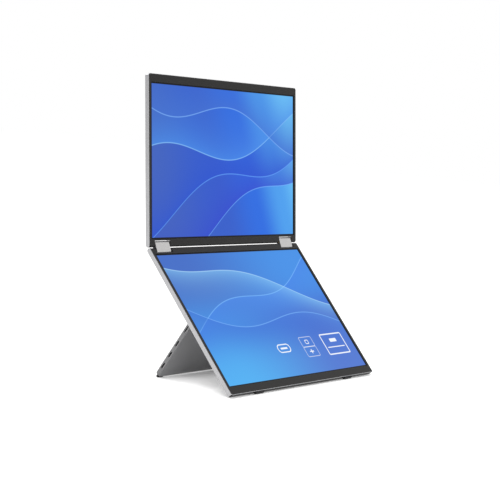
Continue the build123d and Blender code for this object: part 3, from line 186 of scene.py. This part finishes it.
# ---- node graphs
class Graph:
    """Short calls that build one material's nodes."""

    def __init__(self, name):
        self.material = bpy.data.materials.new(name)
        self.material.use_nodes = True
        self.tree = self.material.node_tree
        self.shader = self.tree.nodes["Principled BSDF"]
        self.object_point = self.node("TexCoord").outputs["Object"]

    def node(self, kind, **settings):
        made = self.tree.nodes.new("ShaderNode" + kind)
        for key, value in settings.items():
            setattr(made, key, value)
        return made

    def put(self, socket, value):
        if isinstance(value, bpy.types.NodeSocket):
            self.tree.links.new(value, socket)
        else:
            socket.default_value = value

    def set(self, name, value):
        self.put(self.shader.inputs[name], value)

    def math(self, operation, *values):
        made = self.node("Math", operation=operation)
        for socket, value in zip(made.inputs, values):
            self.put(socket, value)
        return made.outputs[0]

    def plus(self, a, b):
        return self.math("ADD", a, b)

    def times(self, a, b):
        return self.math("MULTIPLY", a, b)

    def vector(self, operation, a, b):
        made = self.node("VectorMath", operation=operation)
        self.put(made.inputs[0], a)
        self.put(made.inputs[1], b)
        return made.outputs["Value" if operation == "DOT_PRODUCT" else "Vector"]

    def ramp(self, value, low, high, start=0.0, end=1.0):
        """Smooth change from start to end while value goes from low to high."""
        made = self.node("MapRange", interpolation_type="SMOOTHSTEP")
        for socket, number in zip(made.inputs, (value, low, high, start, end)):
            self.put(socket, number)
        return made.outputs[0]

    def blend(self, amount, a, b):
        made = self.node("Mix", data_type="RGBA")
        for place, value in ((0, amount), (6, a), (7, b)):
            self.put(made.inputs[place], value)
        return made.outputs[2]

    def noise(self, size, detail=2.0, stretch=None):
        """Noise whose features are about size millimetres across, from 0 to 1."""
        point = self.vector("MULTIPLY", self.object_point, stretch) if stretch else self.object_point
        made = self.node("TexNoise")
        self.put(made.inputs["Vector"], point)
        self.put(made.inputs["Scale"], 1 / (size * MM))
        self.put(made.inputs["Detail"], detail)
        return made.outputs["Fac"]

    def local(self, place):
        """Across, along and out of a place, in millimetres."""
        moved = self.vector("SUBTRACT", self.object_point, place.origin)
        return [self.vector("DOT_PRODUCT", moved, axis / MM)
                for axis in (Vector((1, 0, 0)), place.along, place.out)]

    def sharp_edge(self, radius):
        """How near the surface is to a sharp edge, from 0 to 1, and the normal rounded over it."""
        round_normal = self.node("Bevel", samples=4)
        self.put(round_normal.inputs["Radius"], radius * MM)
        flat = self.node("NewGeometry").outputs["True Normal"]
        agreement = self.vector("DOT_PRODUCT", round_normal.outputs[0], flat)
        return self.ramp(agreement, *EDGE_SHARPNESS), round_normal.outputs[0]

    def bump(self, height, strength, depth, normal=None):
        made = self.node("Bump")
        self.put(made.inputs["Height"], height)
        self.put(made.inputs["Strength"], strength)
        self.put(made.inputs["Distance"], depth * MM)
        if normal is not None:
            self.put(made.inputs["Normal"], normal)
        self.set("Normal", made.outputs["Normal"])


def shaded(colour, share):
    """A colour made darker or lighter by a share, and no lighter than full."""
    return tuple(min(1.0, channel * share) for channel in colour[:3]) + (1.0,)


def finish_surface(graph, colour, roughness, grain, depth, wear_and_highlight=None, metallic=0.0, mottle=0.06,
                   edge=0.15):
    """Common finish: clouded colour, fine grain in the roughness and height, edges rounded in the normal so
    that they catch light, and edges painted lighter, partly as wear and partly as a painted highlight.
    """
    clouds = graph.noise(CLOUD_SIZE, 3.0)
    fine = graph.noise(grain, 3.0)
    mixed = graph.plus(graph.times(clouds, CLOUD_SHARE), graph.times(fine, 1 - CLOUD_SHARE))
    base = graph.blend(mixed, shaded(colour, 1 - mottle), shaded(colour, 1 + mottle))
    near_edge, normal = graph.sharp_edge(edge)
    if wear_and_highlight is not None:
        scuffs = graph.ramp(graph.noise(SCUFF_SIZE, 4.0), *SCUFF_SPREAD)
        # wear and painted highlight: near sharp edges, in scuffed patches, the colour turns to the lighter
        # edge colour
        base = graph.blend(graph.times(near_edge, scuffs), base, wear_and_highlight)
    graph.set("Base Color", base)
    graph.set("Metallic", metallic)
    graph.set("Roughness", graph.plus(graph.times(fine, GRAIN_ROUGHNESS), roughness - GRAIN_ROUGHNESS / 2))
    graph.bump(fine, GRAIN_STRENGTH, depth, normal)
    return graph.material


# ---- materials
def blasted_aluminium(graph, colour, roughness, wear_and_highlight, metallic):
    return finish_surface(graph, colour, roughness, BLASTED_GRAIN, BLASTED_DEPTH, wear_and_highlight, metallic)


def shell_with_painted_end_shade():
    """The shell of the lower display, which stands on the floor, with painted shade at the far end: black
    that stands in for the dark floor contact the end face mirrors.
    """
    graph = Graph("lower_shell_painted_shade")
    blasted_aluminium(graph, SILVER, SILVER_ROUGHNESS, SILVER_WEAR_AND_HIGHLIGHT, 1.0)
    metal = graph.shader.inputs["Base Color"].links[0].from_socket
    _, along, out = graph.local(LOWER)
    # painted shade: the end face and its edge are made black and not metal, in place of the dark contact
    # shadow they mirror
    painted_shade = graph.times(graph.math("GREATER_THAN", along, DISPLAY_END - PAINTED_SHADE_REACH),
                         graph.math("LESS_THAN", out, FRONT_CHAMFER))
    graph.set("Base Color", graph.blend(painted_shade, metal, PAINTED_SHADE_BLACK))
    graph.set("Metallic", graph.math("SUBTRACT", 1.0, painted_shade))
    graph.set("Specular IOR Level", DULL)
    return graph.material


def moulded_bezel():
    """Dark warm plastic with a fine eggshell grain and edges painted lighter, partly as polish and partly as
    a painted highlight.
    """
    graph = Graph("dark_bezel")
    graph.set("Specular IOR Level", 0.2)
    return finish_surface(graph, (0.012, 0.0115, 0.011, 1.0), 0.46, 0.5, 0.03,
                          wear_and_highlight=(0.10, 0.10, 0.10, 1.0), mottle=0.12)


def soft_rubber():
    return finish_surface(Graph("foot_rubber"), (0.016, 0.016, 0.017, 1.0), 0.78, 0.4, 0.05,
                          wear_and_highlight=(0.04, 0.04, 0.04, 1.0), mottle=0.15, edge=0.25)


def turned_steel(name, colour, roughness):
    """Machined or stamped steel with fine lines across the part."""
    graph = Graph(name)
    lines = graph.noise(0.25, 2.0, (0.08, 1.0, 1.0))
    clouds = graph.noise(4.0, 2.0)
    streaks = graph.plus(graph.times(lines, 0.6), graph.times(clouds, 0.4))
    graph.set("Base Color", graph.blend(streaks, shaded(colour, 0.82), colour))
    graph.set("Metallic", 1.0)
    graph.set("Roughness", graph.plus(graph.times(lines, 0.15), roughness - 0.07))
    _, normal = graph.sharp_edge(0.08)
    graph.bump(lines, 0.3, 0.01, normal)
    return graph.material


def cut_brass():
    return finish_surface(Graph("gear_brass"), (0.62, 0.43, 0.16, 1.0), 0.32, 0.2, 0.01,
                          wear_and_highlight=(0.85, 0.66, 0.32, 1.0), metallic=1.0, mottle=0.1, edge=0.05)


def backlight_sheet():
    return finish_surface(Graph("backlight_sheet"), (0.46, 0.47, 0.48, 1.0), 0.34, 0.6, 0.01,
                          wear_and_highlight=(0.8, 0.8, 0.8, 1.0), metallic=1.0, mottle=0.05)


def foam_tape():
    return finish_surface(Graph("foam_tape"), (0.02, 0.02, 0.022, 1.0), 0.9, 0.5, 0.08, mottle=0.3)


def circuit_board():
    """Green solder mask with paler tracks."""
    graph = Graph("circuit_board")
    tracks = graph.node("TexBrick", offset=0.37, squash=0.6, squash_frequency=3)
    graph.put(tracks.inputs["Vector"], graph.object_point)
    graph.put(tracks.inputs["Scale"], 1 / (TRACK_PITCH * MM))
    graph.put(tracks.inputs["Mortar Size"], 0.015)
    graph.put(tracks.inputs["Color1"], (0.008, 0.060, 0.030, 1.0))
    graph.put(tracks.inputs["Color2"], (0.010, 0.075, 0.036, 1.0))
    graph.put(tracks.inputs["Mortar"], (0.030, 0.16, 0.07, 1.0))
    graph.set("Base Color", tracks.outputs["Color"])
    graph.set("Roughness", graph.plus(graph.times(graph.noise(1.5), 0.15), 0.3))
    graph.bump(tracks.outputs["Fac"], 0.4, -0.05)
    return graph.material


def polyimide_cable():
    """Amber film over copper lines."""
    graph = Graph("polyimide_cable")
    stripes = graph.node("TexWave", wave_type="BANDS", bands_direction="X")
    graph.put(stripes.inputs["Vector"], graph.object_point)
    graph.put(stripes.inputs["Scale"], 1 / (STRIPE_PITCH * MM))
    graph.put(stripes.inputs["Distortion"], 0.0)
    film, copper = (0.30, 0.13, 0.02, 1.0), (0.46, 0.22, 0.05, 1.0)
    graph.set("Base Color", graph.blend(stripes.outputs["Fac"], film, copper))
    graph.set("Roughness", graph.plus(graph.times(graph.noise(2.0), 0.2), 0.25))
    graph.bump(stripes.outputs["Fac"], 0.3, 0.02)
    return graph.material


def socket_metal():
    """Nickel-plated shell, with the dark plastic of the tongue and the far wall inside it."""
    graph = Graph("socket_metal")
    across, _, out = graph.local(STAND)
    tongue = graph.math("LESS_THAN", graph.math("ABSOLUTE", out), TONGUE_HALF)
    deep = graph.math("GREATER_THAN", across, MOUNTS["usb_c_1"].x / MM + SOCKET_DEPTH)
    plastic = graph.math("MAXIMUM", tongue, deep)
    lines = graph.noise(0.3, 2.0, (0.1, 1.0, 1.0))
    nickel = graph.blend(lines, (0.34, 0.34, 0.35, 1.0), (0.46, 0.46, 0.47, 1.0))
    graph.set("Base Color", graph.blend(plastic, nickel, SOCKET_PLASTIC))
    graph.set("Metallic", graph.math("SUBTRACT", 1.0, plastic))
    graph.set("Roughness", graph.plus(graph.times(lines, 0.12), 0.26))
    _, normal = graph.sharp_edge(0.06)
    graph.bump(lines, 0.2, 0.01, normal)
    return graph.material


# ---- the lit picture
def wave(graph, across, along, spec):
    """Signed height above a long wave that crosses the picture, in millimetres."""
    level, slope, height, length, phase = spec
    turn = graph.math("SINE", graph.plus(graph.times(across, 2 * math.pi / length), phase))
    curve = graph.plus(graph.plus(graph.times(across, slope), level), graph.times(turn, height))
    return graph.math("SUBTRACT", along, curve)


def sheet(graph, colour, above, fill, line, strength, reach):
    """Lays a translucent sheet over the colour: full at its edge, fading out over reach, with a lit rim."""
    started = graph.ramp(above, *SHEET_EDGE)
    fading = graph.math("POWER", EULER, graph.times(above, -1 / reach))
    amount = graph.times(graph.times(started, fading), strength)
    colour = graph.blend(graph.math("MINIMUM", amount, 1.0), colour, fill)
    rim = graph.ramp(graph.math("ABSOLUTE", above), 0.0, RIM_HALF, RIM_STRENGTH, 0.0)
    return graph.blend(rim, colour, line)


def lay_waves(graph, colour, across, along, waves):
    for spec, fill, line, strength, reach in waves:
        colour = sheet(graph, colour, wave(graph, across, along, spec), fill, line, strength, reach)
    return colour


def gradient(graph, place, stops):
    made = graph.node("ValToRGB")
    made.color_ramp.interpolation = "EASE"
    elements = made.color_ramp.elements
    while len(elements) < len(stops):
        elements.new(0.5)
    for element, (position, colour) in zip(elements, stops):
        element.position = position
        element.color = colour
    graph.put(made.inputs[0], place)
    return made.outputs[0]


def box_distance(graph, across, along, box):
    """Distance outside a rounded box given as centre, half sizes and corner radius, in millimetres."""
    x, y, half_width, half_height, radius = box
    dx = graph.math("SUBTRACT", graph.math("ABSOLUTE", graph.plus(across, -x)), half_width - radius)
    dy = graph.math("SUBTRACT", graph.math("ABSOLUTE", graph.plus(along, -y)), half_height - radius)
    outer = graph.math("SQRT", graph.plus(graph.math("POWER", graph.math("MAXIMUM", dx, 0.0), 2.0),
                                          graph.math("POWER", graph.math("MAXIMUM", dy, 0.0), 2.0)))
    inner = graph.math("MINIMUM", graph.math("MAXIMUM", dx, dy), 0.0)
    return graph.plus(graph.plus(outer, inner), -radius)


def outlined(graph, distance, line):
    """1 on a line of that half width along the edge of a shape."""
    return graph.ramp(graph.math("ABSOLUTE", distance), line - SOFTNESS, line + SOFTNESS, 1.0, 0.0)


def filled(graph, distance):
    return graph.ramp(distance, -SOFTNESS, SOFTNESS, 1.0, 0.0)


def screen(name, place, picture, icons=()):
    """Anti-glare panel: a black border round a lit picture."""
    graph = Graph(name)
    across, along, _ = graph.local(place)
    middle = PICTURE_START + PICTURE_HEIGHT / 2
    window = (0, middle, PICTURE_WIDTH / 2, PICTURE_HEIGHT / 2, PICTURE_CORNER)
    lit = filled(graph, box_distance(graph, across, along, window))
    colour = picture(graph, across, along)
    for strength, marks in icons:
        for box, line in marks:
            distance = box_distance(graph, across, along, box)
            mark = outlined(graph, distance, line) if line else filled(graph, distance)
            colour = graph.blend(graph.times(mark, strength), colour, ICON_COLOUR)
    graph.set("Base Color", PANEL_BLACK)
    graph.set("Emission Color", graph.blend(lit, BLACK, colour))
    graph.set("Emission Strength", PICTURE_STRENGTH)
    graph.set("Specular IOR Level", DULL)
    sparkle = graph.noise(0.3, 2.0)
    graph.set("Roughness", graph.plus(graph.times(sparkle, 0.1), 0.3))
    graph.bump(sparkle, 0.15, 0.01)
    return graph.material


def upper_picture(graph, across, along):
    """Royal blue that clears to pale cyan on the right, crossed by translucent waves."""
    per_across, per_along, middle = UPPER_SWEEP
    sweep = graph.plus(graph.times(across, per_across), graph.times(along, per_along))
    colour = gradient(graph, graph.plus(sweep, middle), UPPER_STOPS)
    return lay_waves(graph, colour, across, along, UPPER_WAVES)


def lower_picture(graph, across, along):
    """Mid blue that clears to sky blue at the far left and to indigo at the far right."""
    far = graph.ramp(along, PICTURE_START + LOWER_NEAR, PICTURE_START + PICTURE_HEIGHT)
    left = gradient(graph, far, LOWER_LEFT_STOPS)
    right = gradient(graph, far, LOWER_RIGHT_STOPS)
    colour = graph.blend(graph.ramp(across, *LOWER_SIDES), left, right)
    return lay_waves(graph, colour, across, along, LOWER_WAVES)


# ---- which node gets which material
def dress():
    """Gives each node the first of these finishes whose word is part of the node's name."""
    aluminium = {name: blasted_aluminium(Graph(name), *look) for name, look in ALUMINIUM.items()}
    steel = {name: turned_steel(name, *look) for name, look in STEEL.items()}
    finishes = (
        ("stand_housing", aluminium["stand_aluminium"]),
        ("stand_front_cover", aluminium["stand_plate_painted_light_aluminium"]),
        ("lower_back_cover", shell_with_painted_end_shade()),
        ("back_cover", aluminium["shell_aluminium"]),
        ("bezel", moulded_bezel()),
        ("backlight", backlight_sheet()),
        ("tapes", foam_tape()),
        ("screws", steel["screw_steel"]),
        ("board", circuit_board()),
        ("cable", polyimide_cable()),
        ("feet", soft_rubber()),
        ("hinge_cap", aluminium["cap_aluminium"]),
        ("plates", steel["blackened_steel"]),
        ("idler", cut_brass()),
        ("shaft", steel["ground_steel"]),
        ("pin", steel["ground_steel"]),
        ("disc", steel["stamped_steel"]),
        ("nuts", steel["stamped_steel"]),
        ("bracket", steel["stamped_steel"]),
        ("socket", socket_metal()),
        ("key", aluminium["key_aluminium"]),
        ("lower_screen", screen("lower_screen", LOWER, lower_picture, LOWER_ICONS)),
        ("upper_screen", screen("upper_screen", UPPER, upper_picture)))
    for name, node in frame["nodes"].items():
        finish = next(material for part, material in finishes if part in name)
        for slot in node.material_slots:
            slot.material = finish


# ---- studio
def looked_at(tree):
    """1 for what the camera sees, itself or in metal or through glass, and 0 for what only gives light."""
    path = tree.nodes.new("ShaderNodeLightPath")
    seen = path.outputs["Is Camera Ray"]
    for kind in ("Is Glossy Ray", "Is Transmission Ray"):
        either = tree.nodes.new("ShaderNodeMath")
        either.operation = "MAXIMUM"
        tree.links.new(seen, either.inputs[0])
        tree.links.new(path.outputs[kind], either.inputs[1])
        seen = either.outputs[0]
    return seen


def backdrop():
    """White behind the object and in what it mirrors, and a soft room, brighter overhead, that lights it."""
    world = bpy.data.worlds.new("studio")
    bpy.context.scene.world = world
    world.use_nodes = True
    tree = world.node_tree
    nodes, links = tree.nodes, tree.links
    room = nodes["Background"]
    white = nodes.new("ShaderNodeBackground")
    white.inputs["Color"].default_value = WHITE
    white.inputs["Strength"].default_value = 1.0
    direction = nodes.new("ShaderNodeTexCoord")
    parts = nodes.new("ShaderNodeSeparateXYZ")
    height = nodes.new("ShaderNodeMapRange")
    links.new(direction.outputs["Generated"], parts.inputs[0])
    links.new(parts.outputs["Z"], height.inputs["Value"])
    for name, value in zip(("From Min", "From Max", "To Min", "To Max"), (*ROOM_SPAN, ROOM_LOW, ROOM_HIGH)):
        height.inputs[name].default_value = value
    room.inputs["Color"].default_value = ROOM_TINT
    links.new(height.outputs[0], room.inputs["Strength"])
    mix = nodes.new("ShaderNodeMixShader")
    links.new(looked_at(tree), mix.inputs[0])
    links.new(room.outputs[0], mix.inputs[1])
    links.new(white.outputs[0], mix.inputs[2])
    links.new(mix.outputs[0], nodes["World Output"].inputs["Surface"])


def lay_floor():
    """A plain pale floor, lifted to white, that keeps soft shadows, deepens them near the object with a
    painted contact shadow in its lift, and throws little light up.
    """
    mesh = bpy.data.meshes.new("floor")
    half = FLOOR_HALF
    corners = [(-half, -half, 0), (half, -half, 0), (half, half, 0), (-half, half, 0)]
    mesh.from_pydata(corners, [], [(0, 1, 2, 3)])
    floor = bpy.data.objects.new("floor", mesh)
    bpy.context.scene.collection.objects.link(floor)
    graph = Graph("pale_floor")
    seen = looked_at(graph.tree)
    pale = graph.blend(graph.noise(FLOOR_GRAIN), *FLOOR_PALE)
    graph.set("Base Color", graph.blend(seen, FLOOR_SHADE, pale))
    graph.set("Roughness", FLOOR_ROUGHNESS)
    graph.set("Specular IOR Level", DULL)
    contact_shadow_occlusion = graph.node("AmbientOcclusion", samples=8)
    graph.put(contact_shadow_occlusion.inputs["Distance"], FLOOR_REACH)
    # painted contact shadow: the lift fades where ambient occlusion finds the object close, for the camera
    # and in what metal mirrors
    lift = graph.times(graph.math("POWER", contact_shadow_occlusion.outputs["AO"], FLOOR_CONTRAST), FLOOR_LIFT)
    graph.set("Emission Color", WHITE)
    graph.set("Emission Strength", graph.times(seen, lift))
    mesh.materials.append(graph.material)


def light(name, place, size, power, mirrored):
    """A round lamp that faces the object."""
    lamp = bpy.data.lights.new(name, "AREA")
    lamp.shape = "DISK"
    lamp.size = size
    lamp.energy = power
    made = bpy.data.objects.new(name, lamp)
    bpy.context.scene.collection.objects.link(made)
    made.visible_glossy = mirrored
    made.location = place
    made.rotation_euler = (Vector(LAMP_TARGET) - Vector(place)).to_track_quat("-Z", "Y").to_euler()


def light_studio():
    backdrop()
    lay_floor()
    for lamp in LAMPS:
        light(*lamp)


def place_camera():
    yaw, pitch, roll = (math.radians(angle) for angle in (CAMERA_YAW, CAMERA_PITCH, CAMERA_ROLL))
    forward = Vector((math.sin(yaw) * math.cos(pitch), math.cos(yaw) * math.cos(pitch), -math.sin(pitch)))
    right = Vector((math.cos(yaw), -math.sin(yaw), 0))
    up = right.cross(forward)
    turned_right = right * math.cos(roll) + up * math.sin(roll)
    turned_up = up * math.cos(roll) - right * math.sin(roll)
    data = bpy.data.cameras.new("camera")
    data.sensor_width = SENSOR
    data.lens = SENSOR * FOCAL_PIXELS / FRAME_PIXELS
    data.clip_start = NEAREST
    camera = bpy.data.objects.new("camera", data)
    bpy.context.scene.collection.objects.link(camera)
    rows = zip(turned_right, turned_up, -forward, MM * Vector(CAMERA_PLACE))
    camera.matrix_world = Matrix([list(row) for row in rows] + [[0, 0, 0, 1]])
    bpy.context.scene.camera = camera


dress()
light_studio()
place_camera()
bpy.context.scene.view_settings.view_transform = "Standard"
